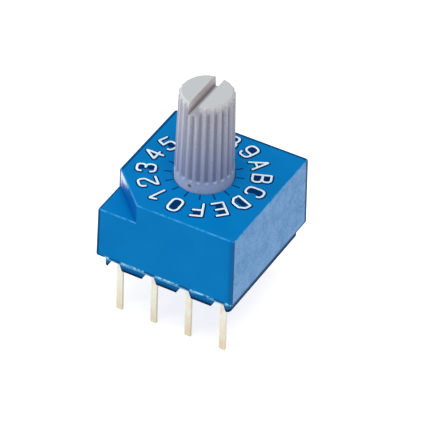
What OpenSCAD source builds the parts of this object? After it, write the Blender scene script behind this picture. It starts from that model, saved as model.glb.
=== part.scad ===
// Rotary code switch for a circuit board: sixteen positions, square cover, serrated shaft.
// Origin: shaft axis at the board plane, +Z up, the keyed corner at -X -Y.

/* [Cover] */
// Width of the square cover at its lower edge
cover_w = 10; // [9.8:0.1:10.6]
// Height of the cover
cover_h = 5.2; // [5:0.1:6]
// Height of the cover's lower edge above the board
cover_lift = 1; // [0.8:0.05:1.1]
// Inward draft of each side over the cover's height
cover_draft = 0.08; // [0.04:0.01:0.16]
// Radius along the cover's top edges
edge_r = 0.14; // [0.06:0.01:0.2]
// Depth of the flat that breaks each upright corner
corner_break = 0.07; // [0.03:0.01:0.15]
// Thickness of the skirt round the base
skirt_wall = 0.38; // [0.3:0.01:0.5]
// Length of the keyed corner along the front side
key_leg_x = 2.96; // [2.5:0.02:3.1]
// Length of the keyed corner along the left side
key_leg_y = 2.86; // [2.5:0.02:3.1]
// Depth of the keyed corner below the cover's top
key_drop = 1.44; // [1:0.02:1.8]
// Radius of the round chamber inside
chamber_r = 4.1; // [4.05:0.01:4.2]

/* [Base] */
// Height of the feet round the base
foot_h = 0.5; // [0.4:0.05:0.6]
// Width of the rail that the feet form
foot_w = 0.9; // [0.6:0.05:1]
// Height of the base block above the feet
base_h = 1.5; // [1.4:0.05:1.6]
// Radius of the base's upright corners
base_corner_r = 0.3; // [0.2:0.05:0.5]
// Gap between base and skirt
base_gap = 0.02; // [0.01:0.005:0.04]
// Width of a foot notch at its top
notch_top = 0.7; // [0.6:0.02:0.8]
// Width of a foot notch at the board
notch_bottom = 1.07; // [0.9:0.01:1.2]
/* [Terminals] */
// Spacing of the leads in a row
lead_pitch = 2.54; // [2.5:0.01:2.6]
// Distance between the two rows of leads
row_gap = 7.62; // [7.5:0.02:7.7]
// Width of a lead
lead_w = 0.42; // [0.38:0.01:0.5]
// Thickness of the terminal sheet
sheet = 0.2; // [0.18:0.01:0.25]
// Length of a lead below the board plane
lead_l = 3.95; // [3:0.05:5]
// Distance from a row of leads in to the far side of the tails
tail_reach = 1.1; // [1:0.05:1.15]
// Width of a tail
tail_w = 0.4; // [0.35:0.01:0.45]
// Thickness of the plastic over a tail
tail_cover = 0.2; // [0.15:0.01:0.25]
// Gap round a finger in its well
well_gap = 0.12; // [0.1:0.01:0.14]
// Width of a contact finger
finger_w = 0.35; // [0.3:0.01:0.4]
// Thickness of a contact finger
finger_t = 0.14; // [0.1:0.01:0.18]
// Radius of the rounded tip of a finger
finger_tip_r = 0.15; // [0.12:0.01:0.2]
// Gap left between a finger's tip and the code disc
finger_gap = 0.02; // [0.01:0.005:0.03]

/* [Shaft and rotor] */
// Diameter of the shaft where it leaves the cover
shaft_d = 3.9; // [3.7:0.05:4]
// Diameter at the top of the shaft
shaft_top_d = 3.6; // [3.5:0.02:3.7]
// Height of the shaft above the cover
shaft_rise = 6.75; // [6:0.05:8]
// Bevel round the top of the shaft
shaft_bevel = 0.2; // [0.1:0.01:0.25]
// Height of the plain collar below the serrations
collar_h = 0.7; // [0.5:0.05:1]
// Number of serrations
serrations = 22; // [18:1:24]
// Radius of a serration groove
serration_r = 0.2; // [0.16:0.01:0.24]
// Depth of a serration groove
serration_d = 0.13; // [0.08:0.01:0.16]
// Width of the screwdriver slot
slot_w = 0.68; // [0.6:0.02:0.8]
// Depth of the screwdriver slot
slot_d = 0.9; // [0.6:0.05:1.2]
// Radius of the index dimple in the collar
dimple_r = 0.13; // [0.08:0.01:0.18]
// Height of the index dimple above the cover
dimple_z = 0.43; // [0.3:0.01:0.45]
// Depth of the index dimple
dimple_d = 0.08; // [0.04:0.01:0.12]
// Radial clearance of the shaft in the cover
shaft_gap = 0.05; // [0.02:0.01:0.09]
// Radius of the detent wheel
wheel_r = 3.3; // [3.25:0.01:3.35]
// Height of the detent wheel
wheel_h = 1.43; // [1.3:0.01:1.5]
// End play of the wheel under the cover's roof
end_play = 0.05; // [0.02:0.01:0.1]
// Radius of the pivot under the rotor
pivot_r = 0.5; // [0.4:0.02:0.6]
// Length of the pivot in the base
pivot_l = 0.8; // [0.5:0.05:1]
// Radial clearance of the pivot
pivot_gap = 0.04; // [0.02:0.01:0.08]

/* [Detent] */
// Number of switch positions
positions = 16; // [16:16]
// Radius of a detent valley
valley_r = 0.32; // [0.28:0.01:0.36]
// Depth of a detent valley
valley_d = 0.2; // [0.15:0.01:0.25]
// Gap between the wheel and the flat of a detent spring
spring_stand = 0.2; // [0.15:0.01:0.24]
// Distance from the wheel's top down to a spring's upper edge
spring_drop = 0.3; // [0.2:0.02:0.4]
// Thickness of the detent spring
spring_t = 0.18; // [0.12:0.01:0.2]
// Length of the detent spring
spring_l = 5; // [4.6:0.1:5.2]
// Outside radius of the spring's nose
nose_r = 0.28; // [0.24:0.01:0.3]
// Gap between the nose and the valley
nose_gap = 0.02; // [0.01:0.005:0.04]
// Gap round the ends of the spring in their slots
spring_gap = 0.03; // [0.02:0.005:0.05]

/* [Seals] */
// Height of the rebate in the skirt's mouth that the resin fills
groove_h = 0.4; // [0.2:0.05:0.5]
// Depth of the rebate
groove_d = 0.15; // [0.1:0.01:0.2]
// Thickness of the O-ring's cord
oring_t = 0.8; // [0.7:0.02:0.84]
// Gap between the O-ring and what it seals
oring_gap = 0.02; // [0.01:0.005:0.03]

/* [Code disc] */
// Outside radius of the disc
disc_r = 3; // [2.95:0.01:3.05]
// Radius of the hole in the disc
disc_bore_r = 0.75; // [0.7:0.01:0.8]
// Thickness of the disc
disc_t = 0.15; // [0.1:0.01:0.2]
// Height of the disc above the base
disc_lift = 0.62; // [0.6:0.01:0.7]
// Radius of the outermost track
track_out = 2.7; // [2.68:0.01:2.72]
// Distance between two tracks
track_pitch = 0.4; // [0.38:0.01:0.42]
// Width of the windows along a track
window_w = 0.26; // [0.2:0.01:0.3]

/* [Hidden] */
$fn = 64;
eps = 0.5;

// Heights above the board
base_top = foot_h + base_h;
cover_top = cover_lift + cover_h;
disc_z = base_top + disc_lift;
wheel_z = disc_z + disc_t;
wheel_top = wheel_z + wheel_h;
chamber_top = wheel_top + end_play;
shaft_top = cover_top + shaft_rise;

// Widths and radii
pocket_w = cover_w - 2 * skirt_wall;
base_w = pocket_w - 2 * base_gap;
shaft_r = shaft_d / 2;
hole_r = shaft_r + shaft_gap;
gland_r = shaft_r + oring_t + 2 * oring_gap;
row_y = row_gap / 2;

// Keyed corner: the ledge's height over the skirt and the step's direction and distance from the axis
ledge_h = cover_h - key_drop;
ledge_draft = cover_draft * ledge_h / cover_h;
key_angle = atan2(-key_leg_x, -key_leg_y);
key_reach = (cover_w / 2 * (key_leg_x + key_leg_y) - key_leg_x * key_leg_y) / norm([key_leg_x, key_leg_y]);

// Detent
position_angle = 360 / positions;
valley_floor = wheel_r - valley_d;
nose_y = valley_floor + nose_gap + nose_r;
spring_y = wheel_r + spring_stand;
spring_h = wheel_top - spring_drop - base_top;

// Terminals: lead columns from left to right, the track that each front finger follows
columns = [-1.5, -0.5, 0.5, 1.5] * lead_pitch;
front_tracks = [for (step = [0, 2, 3, 1]) track_out - step * track_pitch];
front_fingers = [-2.1, -0.85, 0.85, 2];
common_track = (disc_bore_r + track_out - 3 * track_pitch - window_w / 2) / 2;
common_finger = 0.5;
common_columns = [columns[1], columns[2]];
tail_y = row_y - tail_reach;
tail_z = base_top - tail_cover - sheet;

cover_blue = [0, 0.46, 0.74];
base_blue = [0.02, 0.33, 0.6];
knob_grey = [0.69, 0.69, 0.76];
gold = [0.86, 0.72, 0.42];
steel = [0.75, 0.76, 0.78];
rubber_black = [0.08, 0.08, 0.09];
resin = [0.12, 0.12, 0.14];

// ---------- shared shapes ----------

// Square with round corners, centred
module rounded_square(w, r) {
    square([w, w - 2 * r], center = true);
    square([w - 2 * r, w], center = true);
    for (x = [-1, 1], y = [-1, 1])
        translate([x, y] * (w / 2 - r)) circle(r);
}

// Centre of the arc that rounds the top edge of a drafted side
function shoulder(half, inset, h, r) =
    let (
        tilt = atan(inset / h),
        reach = (half - inset) * cos(tilt) + h * sin(tilt),
        cy = h - r
    )
    [(reach - r - cy * sin(tilt)) / cos(tilt), cy, tilt];

// Wall-to-wall section of a drafted block, extruded sideways
module drafted_pair(half, inset, h, r) {
    arc = shoulder(half, inset, h, r);
    side = [arc[0] + r * cos(arc[2]), arc[1] + r * sin(arc[2])];
    rotate([90, 0, 0])
        linear_extrude(4 * half, center = true) {
            polygon([[-half, 0], [half, 0], side, [arc[0], h], [-arc[0], h], [-side[0], side[1]]]);
            for (x = [-1, 1]) translate([x * arc[0], arc[1]]) circle(r);
        }
}

// Block with four drafted sides, rounded top edges and broken upright corners
module drafted_block(w, inset, h, r, corner) {
    intersection() {
        drafted_pair(w / 2, inset, h, r);
        rotate([0, 0, 90]) drafted_pair(w / 2, inset, h, r);
        rotate([0, 0, 45]) drafted_pair(w / sqrt(2) - corner, inset * sqrt(2), h, r);
        rotate([0, 0, 135]) drafted_pair(w / sqrt(2) - corner, inset * sqrt(2), h, r);
    }
}

// Part of a flat ring between two angles
module ring_sector(r, w, t, from, to) {
    rotate([0, 0, from])
        rotate_extrude(angle = to - from)
            translate([r - w / 2, 0]) square([w, t]);
}

// ---------- cover ----------

// Everything on the shaft's side of the step, with the step's top edge rounded
module key_side() {
    rotate([0, 0, key_angle])
        rotate([90, 0, 0])
            linear_extrude(4 * cover_w, center = true) {
                translate([key_reach - 2 * cover_w, 0]) square([2 * cover_w, cover_h - edge_r]);
                translate([key_reach - 2 * cover_w, 0]) square([2 * cover_w - edge_r, cover_h]);
                translate([key_reach - edge_r, cover_h - edge_r]) circle(edge_r);
            }
}

// Outside of the cover: a low block as high as the ledge, and the full block beside the keyed corner
module cover_body() {
    drafted_block(cover_w, ledge_draft, ledge_h, edge_r, corner_break);
    intersection() {
        drafted_block(cover_w, cover_draft, cover_h, edge_r, corner_break);
        key_side();
    }
}

module spring_slots() {
    for (turn = [0, 180])
        rotate([0, 0, turn])
            translate([-spring_l / 2 - spring_gap, spring_y - spring_gap, base_top - eps])
                cube([spring_l + 2 * spring_gap, spring_t + 2 * spring_gap, spring_h + spring_gap + eps]);
}

module cover() {
    color(cover_blue)
    difference() {
        translate([0, 0, cover_lift]) cover_body();
        translate([0, 0, cover_lift - eps])
            linear_extrude(base_top - cover_lift + eps)
                rounded_square(pocket_w, base_corner_r + base_gap);
        translate([0, 0, base_top - eps]) cylinder(r = chamber_r, h = chamber_top - base_top + eps);
        translate([0, 0, chamber_top - eps]) cylinder(r = gland_r, h = oring_t + 2 * oring_gap + eps);
        cylinder(r = hole_r, h = cover_top + eps);
        spring_slots();
        mouth_rebate(eps);
    }
}

// ---------- base ----------

module foot_notch() {
    rotate([90, 0, 0])
        linear_extrude(2 * foot_w, center = true)
            polygon([
                [-notch_bottom / 2, 0], [notch_bottom / 2, 0],
                [notch_top / 2, foot_h], [-notch_top / 2, foot_h]
            ]);
}

module feet() {
    difference() {
        linear_extrude(foot_h) rounded_square(base_w, base_corner_r);
        translate([0, 0, -eps])
            linear_extrude(foot_h + 2 * eps) square(base_w - 2 * foot_w, center = true);
        for (x = columns) translate([x, -base_w / 2, 0]) foot_notch();
        for (x = common_columns) translate([x, base_w / 2, 0]) foot_notch();
    }
}

module base() {
    color(base_blue)
    difference() {
        union() {
            feet();
            translate([0, 0, foot_h]) linear_extrude(base_h) rounded_square(base_w, base_corner_r);
        }
        translate([0, 0, base_top - pivot_l - end_play])
            cylinder(r = pivot_r + pivot_gap, h = pivot_l + end_play + eps);
        for (i = [0:3]) {
            front_terminal(i);
            mirror([0, 1, 0]) well(front_fingers[i], front_tracks[i]);
        }
        common_terminal();
        well(common_finger, common_track);
    }
}

// ---------- seam seal ----------

// Rebate round the inside of the skirt's mouth, reaching below it by the given amount
module mouth_rebate(below) {
    translate([0, 0, cover_lift - below])
        linear_extrude(groove_h + below)
            rounded_square(pocket_w + 2 * groove_d, base_corner_r + base_gap + groove_d);
}

module seam_seal() {
    color(resin)
    difference() {
        mouth_rebate(0);
        translate([0, 0, cover_lift - eps])
            linear_extrude(groove_h + 2 * eps) rounded_square(base_w, base_corner_r);
    }
}

// ---------- terminals ----------

// Where a finger's tip meets its track, measured from the shaft axis
function finger_y(finger_x, track) = sqrt(track * track - finger_x * finger_x);

// Lead and the arm that turns inwards at its top
module leg(x) {
    translate([x - lead_w / 2, row_y - sheet / 2, -lead_l])
        cube([lead_w, sheet, tail_z + sheet + lead_l]);
    translate([x - lead_w / 2, tail_y, tail_z])
        cube([lead_w, tail_reach + sheet / 2, sheet]);
}

// Stamped terminal: leg, tail buried in the base, and a finger that rises to the disc
module terminal(x, finger_x, track) {
    tip = [finger_y(finger_x, track), disc_z - finger_gap - finger_tip_r];
    root = [tail_y, tail_z + sheet - finger_t];
    run = root[0] - tip[0];
    rise = tip[1] - finger_t / 2 - root[1];
    leg(x);
    translate([min(x - lead_w / 2, finger_x - finger_w / 2), tail_y, tail_z])
        cube([abs(x - finger_x) + (lead_w + finger_w) / 2, tail_w, sheet]);
    translate([finger_x - finger_w / 2, root[0] + finger_t, root[1]])
        rotate([-atan(rise / run), 0, 0])
            translate([0, -norm([run, rise]) - finger_t, 0])
                cube([finger_w, norm([run, rise]) + finger_t, finger_t]);
    translate([finger_x - finger_w / 2, tip[0], tip[1]])
        rotate([0, 90, 0]) cylinder(r = finger_tip_r, h = finger_w);
}

// Room in the top of the base for one finger
module well(finger_x, track) {
    from = finger_y(finger_x, track) - finger_tip_r - well_gap;
    translate([finger_x - finger_w / 2 - well_gap, from, tail_z])
        cube([finger_w + 2 * well_gap, tail_y - from, base_top - tail_z + eps]);
}

module front_terminal(i) {
    mirror([0, 1, 0]) terminal(columns[i], front_fingers[i], front_tracks[i]);
}

// The common terminal is one stamping on two legs
module common_terminal() {
    terminal(common_columns[1], common_finger, common_track);
    leg(common_columns[0]);
    translate([common_columns[0] - lead_w / 2, tail_y, tail_z])
        cube([common_columns[1] - common_columns[0] + lead_w, tail_w, sheet]);
}

// ---------- rotor ----------

// Groove of one serration, drafted with the shaft and rounded at its foot
module serration() {
    lean = atan((shaft_d - shaft_top_d) / 2 / shaft_rise);
    foot_z = collar_h + serration_r;
    surface = shaft_r - foot_z * tan(lean);
    translate([surface - serration_d + serration_r, 0, cover_top + foot_z])
        rotate([0, -lean, 0]) {
            sphere(serration_r);
            cylinder(r = serration_r, h = shaft_rise);
        }
}

// Sectors where one bit is off, as the finger at finger_angle meets them
module code_windows(bit, r, finger_angle, t) {
    run = pow(2, bit);
    for (n = [0:2 * run:positions - 1])
        ring_sector(
            r, window_w, t,
            finger_angle + (n - 0.5) * position_angle,
            finger_angle + (n + run - 0.5) * position_angle
        );
}

module all_windows(t) {
    for (bit = [0:3]) {
        r = front_tracks[bit];
        x = front_fingers[bit];
        code_windows(bit, r, -acos(x / r), t);
    }
}

module rotor() {
    color(knob_grey)
    difference() {
        union() {
            rotate_extrude()
                polygon([
                    [0, base_top - pivot_l], [pivot_r, base_top - pivot_l],
                    [pivot_r, wheel_z], [wheel_r, wheel_z],
                    [wheel_r, wheel_top], [shaft_r, wheel_top],
                    [shaft_r, cover_top], [shaft_top_d / 2, shaft_top - shaft_bevel],
                    [shaft_top_d / 2 - shaft_bevel, shaft_top], [0, shaft_top]
                ]);
            translate([0, 0, disc_z]) all_windows(disc_t);
        }
        for (i = [0:positions - 1])
            rotate([0, 0, 90 + i * position_angle])
                translate([valley_floor + valley_r, 0, wheel_z - eps])
                    cylinder(r = valley_r, h = wheel_h + 2 * eps);
        for (i = [0:serrations - 1])
            rotate([0, 0, -90 + i * 360 / serrations]) serration();
        translate([-slot_w / 2, -shaft_d, shaft_top - slot_d])
            cube([slot_w, 2 * shaft_d, slot_d + eps]);
        translate([0, -shaft_r + dimple_d, cover_top + dimple_z])
            rotate([90, 0, 0]) cylinder(r = dimple_r, h = eps);
    }
}

module o_ring() {
    color(rubber_black)
        translate([0, 0, wheel_top + oring_gap + oring_t / 2])
            rotate_extrude()
                translate([shaft_r + oring_gap + oring_t / 2, 0]) circle(d = oring_t);
}

module code_disc() {
    color(gold)
    translate([0, 0, disc_z])
        difference() {
            cylinder(r = disc_r, h = disc_t);
            translate([0, 0, -eps]) cylinder(r = disc_bore_r, h = disc_t + 2 * eps);
            translate([0, 0, -eps]) all_windows(disc_t + 2 * eps);
        }
}

// ---------- detent springs ----------

// Flat strip with a U-shaped nose that drops into a valley of the wheel
module detent_spring() {
    inner_r = nose_r - spring_t;
    translate([0, 0, base_top])
        linear_extrude(spring_h)
            difference() {
                union() {
                    translate([-spring_l / 2, spring_y]) square([spring_l, spring_t]);
                    translate([0, nose_y]) circle(nose_r);
                    translate([-nose_r, nose_y]) square([2 * nose_r, spring_y + spring_t - nose_y]);
                }
                translate([0, nose_y]) circle(inner_r);
                translate([-inner_r, nose_y]) square([2 * inner_r, spring_y + spring_t + eps - nose_y]);
            }
}

module detent_spring_front() {
    color(steel) rotate([0, 0, 180]) detent_spring();
}

module detent_spring_rear() {
    color(steel) detent_spring();
}

cover();
base();
seam_seal();
rotor();
o_ring();
code_disc();
detent_spring_front();
detent_spring_rear();
color(gold) front_terminal(0);  // terminal_bit_1
color(gold) front_terminal(1);  // terminal_bit_2
color(gold) front_terminal(2);  // terminal_bit_4
color(gold) front_terminal(3);  // terminal_bit_8
color(gold) common_terminal();  // terminal_common
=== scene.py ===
# %% [markdown]
# # Dressing a rotary code switch
# A rotary code switch is a small blue moulded box, ten millimetres square, with a
# serrated grey shaft that a finger or a screwdriver turns to one of sixteen positions.
# Its solids come from the CAD model, already in place, so they aren't built again. This
# lesson gives them their plastics and metals, builds the raised characters and the ticks
# of the dial, and sets up the camera, the lamps and the floor.

import math

import bpy
from mathutils import Matrix, Vector


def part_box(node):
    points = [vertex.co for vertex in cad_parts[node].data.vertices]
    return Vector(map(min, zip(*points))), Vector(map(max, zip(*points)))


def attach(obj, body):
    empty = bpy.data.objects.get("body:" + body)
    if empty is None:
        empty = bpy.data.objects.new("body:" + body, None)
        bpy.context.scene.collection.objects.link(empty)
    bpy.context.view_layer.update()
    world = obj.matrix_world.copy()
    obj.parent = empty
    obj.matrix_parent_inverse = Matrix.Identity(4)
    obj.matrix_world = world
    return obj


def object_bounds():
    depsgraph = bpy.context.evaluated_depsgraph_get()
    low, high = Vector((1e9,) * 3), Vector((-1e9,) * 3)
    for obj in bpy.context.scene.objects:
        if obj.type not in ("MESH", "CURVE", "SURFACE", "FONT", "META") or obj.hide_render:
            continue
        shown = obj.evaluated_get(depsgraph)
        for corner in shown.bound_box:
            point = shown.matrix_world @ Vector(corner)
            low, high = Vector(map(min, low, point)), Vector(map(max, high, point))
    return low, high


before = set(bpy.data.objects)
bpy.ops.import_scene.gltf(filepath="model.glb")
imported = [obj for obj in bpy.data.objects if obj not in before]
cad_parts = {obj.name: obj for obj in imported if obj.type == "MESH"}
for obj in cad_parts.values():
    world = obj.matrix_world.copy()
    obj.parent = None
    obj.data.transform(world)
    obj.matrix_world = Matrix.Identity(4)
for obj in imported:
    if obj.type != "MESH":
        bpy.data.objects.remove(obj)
cad_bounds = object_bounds()
MM = 0.001


def mm(length):
    """A length in millimetres, rounded for printing."""
    return round(length / MM, 2)


print("CAD box in mm:", [[mm(c) for c in corner] for corner in cad_bounds])

# %% [markdown]
# The camera stands far off and looks through a long lens, as for a catalogue, so the box
# keeps its edges nearly parallel. A near camera with a short lens would show the switch
# as large, but its top would spread. It is placed by two angles, which hold at any
# distance: the azimuth goes round the object from its front, and the elevation goes up
# from the floor. A small roll leans it, as on a stand that isn't quite level.

# %% Camera
CAMERA_AZIMUTH = math.radians(27.68)
CAMERA_ELEVATION = math.radians(39.72)
CAMERA_ROLL = math.radians(2.35)
CAMERA_DISTANCE = 250 * MM
CAMERA_AIM = Vector((0.723, 1.118, 1.788)) * MM
CAMERA_LENS = 314.4  # focal length, mm
CAMERA_SENSOR = 36  # width, mm


def direction(azimuth, elevation):
    """Unit vector from the object towards a camera or lamp at those angles, in radians."""
    flat = math.cos(elevation)
    return Vector((math.sin(azimuth) * flat, -math.cos(azimuth) * flat, math.sin(elevation)))


def add_camera():
    back = direction(CAMERA_AZIMUTH, CAMERA_ELEVATION)
    bpy.ops.object.camera_add(location=CAMERA_AIM + back * CAMERA_DISTANCE)
    camera = bpy.context.object
    camera.name = "studio_camera"
    camera.rotation_mode = "QUATERNION"
    turn = (-back).to_track_quat("-Z", "Y")
    camera.rotation_quaternion = turn @ Matrix.Rotation(CAMERA_ROLL, 4, "Z").to_quaternion()
    camera.data.lens = CAMERA_LENS
    camera.data.sensor_width = CAMERA_SENSOR
    camera.data.clip_start = 1 * MM
    camera.data.clip_end = 10
    bpy.context.scene.camera = camera
    return camera


camera = add_camera()
print("camera in mm:", [mm(c) for c in camera.location])

# %% [markdown]
# The colours below are written as 0-255 screen values, which are easy to compare. A
# shader reckons with linear light, so `srgb` undoes the screen's curve.

# %% Colours
def srgb(r, g, b):
    """A colour given as 0-255 screen values, as the linear colour that a shader wants."""
    def linear(c):
        c = c / 255
        return c / 12.92 if c <= 0.04045 else ((c + 0.055) / 1.055) ** 2.4
    return (linear(r), linear(g), linear(b), 1)


print("screen grey 128 is", round(srgb(128, 128, 128)[0], 3), "of full light")

# %% [markdown]
# Every material is a tree of nodes. It could be laid out by hand in the editor, but a
# written tree can be read and repeated. `feed` is the heart of it: a value that is itself
# a socket is linked, and anything else is typed in.

# %% Node helpers
def feed(tree, socket, value):
    if isinstance(value, bpy.types.NodeSocket):
        tree.links.new(value, socket)
    else:
        socket.default_value = value


def node(tree, kind, inputs=None, **settings):
    made = tree.nodes.new(kind)
    for name, value in settings.items():
        setattr(made, name, value)
    for name, value in (inputs or {}).items():
        feed(tree, made.inputs[name], value)
    return made


print("node helpers: feed, node")

# %% [markdown]
# Some nodes come back all the time, so they get short names. Finishes are placed on object
# coordinates, which move with a piece and need no unwrapping.

# %% Common nodes
def axes(tree, vector):
    """The X, Y and Z of a vector, as three sockets."""
    return node(tree, "ShaderNodeSeparateXYZ", {"Vector": vector}).outputs


def surface(tree):
    """The point being shaded, its axes, and the axes of its normal."""
    coordinates = node(tree, "ShaderNodeTexCoord").outputs
    point = coordinates["Object"]
    return point, axes(tree, point), axes(tree, coordinates["Normal"])


def noise(tree, point, scale, detail, roughness=0.5):
    return node(tree, "ShaderNodeTexNoise", {"Vector": point, "Scale": scale, "Detail": detail,
                                             "Roughness": roughness}).outputs[0]


def mix(tree, factor, first, second):
    """The first colour where the factor is 0, the second where it is 1."""
    return node(tree, "ShaderNodeMix", {0: factor, 6: first, 7: second},
                data_type="RGBA").outputs[2]


print("common nodes: axes, surface, noise, mix")

# %% [markdown]
# A mask is a value between 0 and 1 that says where a finish shows. Masks are made of
# ramps, multiplied where all must hold, and the larger is taken where one is enough. Each
# such sum is one Math node, and the helpers only give it a short name.

# %% Mask helpers
def maths(tree, operation, first, second):
    return node(tree, "ShaderNodeMath", {0: first, 1: second}, operation=operation).outputs[0]


def negative(tree, value):
    return maths(tree, "MULTIPLY", value, -1.0)


def inverse(tree, mask):
    return maths(tree, "SUBTRACT", 1.0, mask)


def product(tree, *values):
    result = values[0]
    for value in values[1:]:
        result = maths(tree, "MULTIPLY", result, value)
    return result


def ramp(tree, value, low, high):
    """0 below low, 1 above high, smooth between."""
    return node(tree, "ShaderNodeMapRange", {"Value": value, "From Min": low, "From Max": high},
                interpolation_type="SMOOTHSTEP").outputs[0]


def carried(tree, value, low, high, to_low=0.0, to_high=1.0, clamp=True):
    """The value carried over in a straight line from low..high to another range."""
    return node(tree, "ShaderNodeMapRange",
                {"Value": value, "From Min": low, "From Max": high,
                 "To Min": to_low, "To Max": to_high}, clamp=clamp).outputs[0]


print("mask helpers: maths, negative, inverse, product, ramp, carried")

# %% [markdown]
# An effect that several materials share becomes a node group, one recipe with its own
# sockets. Copying the nodes into each material would look the same, but a later change
# would have to be made in each of them.

# %% Groups and materials
def new_group(name, inputs, outputs):
    """A new node group with these sockets, its input node and its output node."""
    group = bpy.data.node_groups.new(name, "ShaderNodeTree")
    for label, kind, value in inputs:
        socket = group.interface.new_socket(label, in_out="INPUT", socket_type=kind)
        socket.default_value = value
    for label, kind in outputs:
        group.interface.new_socket(label, in_out="OUTPUT", socket_type=kind)
    return group, group.nodes.new("NodeGroupInput"), group.nodes.new("NodeGroupOutput")


def set_inputs(tree, made, **inputs):
    """Feed a node's inputs, each written with an underscore for every space."""
    for label, value in inputs.items():
        feed(tree, made.inputs[label.replace("_", " ")], value)


def use_group(tree, group, **inputs):
    made = node(tree, "ShaderNodeGroup", node_tree=group)
    set_inputs(tree, made, **inputs)
    return made


def new_material(name):
    material = bpy.data.materials.new(name)
    material.use_nodes = True
    return material, material.node_tree, material.node_tree.nodes["Principled BSDF"]


def tell(*made):
    """Print how many nodes each group or material has."""
    for each in made:
        print(each.name, "has", len(getattr(each, "node_tree", each).nodes), "nodes")


print("groups before the first:", len(bpy.data.node_groups))

# %% [markdown]
# Plastic takes the fine spark-eroded grain of its mould, and its gloss is never quite
# even. The grain could be displaced geometry, but it is so shallow that no outline would
# show it. A noise pressed in as a bump does the same for nothing. The group also gives a
# soft cloudy mask for the uneven gloss.

# %% Moulded skin
GRAIN_DEEP = 0.02 * MM


def moulded_skin_group():
    group, source, sink = new_group(
        "moulded_skin",
        [("Grain Scale", "NodeSocketFloat", 9000.0), ("Depth", "NodeSocketFloat", 0.2)],
        [("Normal", "NodeSocketVector"), ("Uneven", "NodeSocketFloat")],
    )
    place = node(group, "ShaderNodeTexCoord").outputs["Object"]
    grain = noise(group, place, source.outputs["Grain Scale"], 3.0, 0.6)
    cloud = noise(group, place, 700.0, 4.0)
    bump = node(group, "ShaderNodeBump",
                {"Height": grain, "Strength": source.outputs["Depth"], "Distance": GRAIN_DEEP})
    group.links.new(bump.outputs[0], sink.inputs["Normal"])
    group.links.new(ramp(group, cloud, 0.3, 0.7), sink.inputs["Uneven"])
    return group


moulded_skin = moulded_skin_group()
tell(moulded_skin)

# %% [markdown]
# Rounded edges get painted light. Where they face towards the front right they get a
# painted highlight, broken up by a noise. Where they face the back or the left, and on the
# uprights at the front right and the rear left, they get painted shade. Such marks could be
# painted on by hand, or found by how pointed the mesh is, which changes with its density.
# The CAD edges are truly rounded, so their normals slant, and the group finds them by that.

# %% Painted edge light and shade
def edge_light_and_shade_group():
    group, source, sink = new_group(
        "edge_light_and_shade",
        [("Pale Amount", "NodeSocketFloat", 0.5), ("Dark Amount", "NodeSocketFloat", 0.9)],
        [("Mask", "NodeSocketFloat"), ("Near", "NodeSocketFloat")],
    )
    coordinates = node(group, "ShaderNodeTexCoord")
    normal = axes(group, coordinates.outputs["Normal"])
    slant = maths(group, "SUBTRACT", ramp(group, normal["Z"], 0.35, 0.6),
                  ramp(group, normal["Z"], 0.84, 0.95))
    across = maths(group, "MULTIPLY", normal["X"], normal["Y"])
    upright = ramp(group, negative(group, across), 0.1, 0.4)
    facing = maths(group, "SUBTRACT", normal["X"], normal["Y"])
    near = product(group, ramp(group, facing, -0.3, 0.2), inverse(group, upright))
    painted_edge = noise(group, coordinates.outputs["Object"], 2600.0, 3.0)
    broken = maths(group, "MAXIMUM", ramp(group, painted_edge, 0.34, 0.58), inverse(group, near))
    amount = carried(group, near, 0.0, 1.0,
                     source.outputs["Dark Amount"], source.outputs["Pale Amount"])
    mask = maths(group, "MAXIMUM", product(group, slant, broken, amount),
                 product(group, upright, 0.35))
    group.links.new(mask, sink.inputs["Mask"])
    group.links.new(near, sink.inputs["Near"])
    return group


edge_light_and_shade = edge_light_and_shade_group()
tell(edge_light_and_shade)

# %% [markdown]
# Rolled strip keeps fine lines along its rolling direction. An anisotropic shader would
# bend the highlights in the same way, but at this size the lines themselves can be seen.
# So a noise is stretched along one axis, by scaling the coordinates that go into it.

# %% Rolled metal
LINES_DEEP = 0.01 * MM


def rolled_metal_group():
    group, source, sink = new_group(
        "rolled_metal",
        [("Along", "NodeSocketVector", (4000.0, 4000.0, 300.0)),
         ("Depth", "NodeSocketFloat", 0.15)],
        [("Normal", "NodeSocketVector"), ("Lines", "NodeSocketFloat")],
    )
    place = node(group, "ShaderNodeTexCoord").outputs["Object"]
    stretched = node(group, "ShaderNodeVectorMath",
                     {0: place, 1: source.outputs["Along"]}, operation="MULTIPLY").outputs[0]
    lines = noise(group, stretched, 3.0, 4.0)
    bump = node(group, "ShaderNodeBump",
                {"Height": lines, "Strength": source.outputs["Depth"], "Distance": LINES_DEEP})
    group.links.new(bump.outputs[0], sink.inputs["Normal"])
    group.links.new(lines, sink.inputs["Lines"])
    return group


rolled_metal = rolled_metal_group()
tell(rolled_metal)

# %% [markdown]
# The cover is a saturated satin blue with marks of moulding and use, and with painted
# light and shade on its edges, its keyed wall and its rims. They could be painted on an
# unwrapped image, but CAD solids unwrap badly and an image blurs close up. Here each mark
# is a mask worked out from the place and the normal, in the cover's own measures, so it
# keeps its sharpness and its place. First come those measures.

# %% The cover's measures
COVER_LOW, COVER_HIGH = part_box("cover")
COVER_HALF = COVER_HIGH.x
KEY_DROP = 1.44 * MM  # from the top down to the keyed corner's ledge
LEDGE_Z = COVER_HIGH.z - KEY_DROP
DRAFT_SLOPE = 0.08 / 5.2  # how far a side leans in over the cover's height
LEAD_PITCH = 2.54 * MM
NOTCH_SEEN_X = LEAD_PITCH / 2 + 0.24 * MM  # middle of the dark that a notch leaves
print("cover in mm: half", mm(COVER_HALF), "top", mm(COVER_HIGH.z), "ledge", mm(LEDGE_Z))
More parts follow.
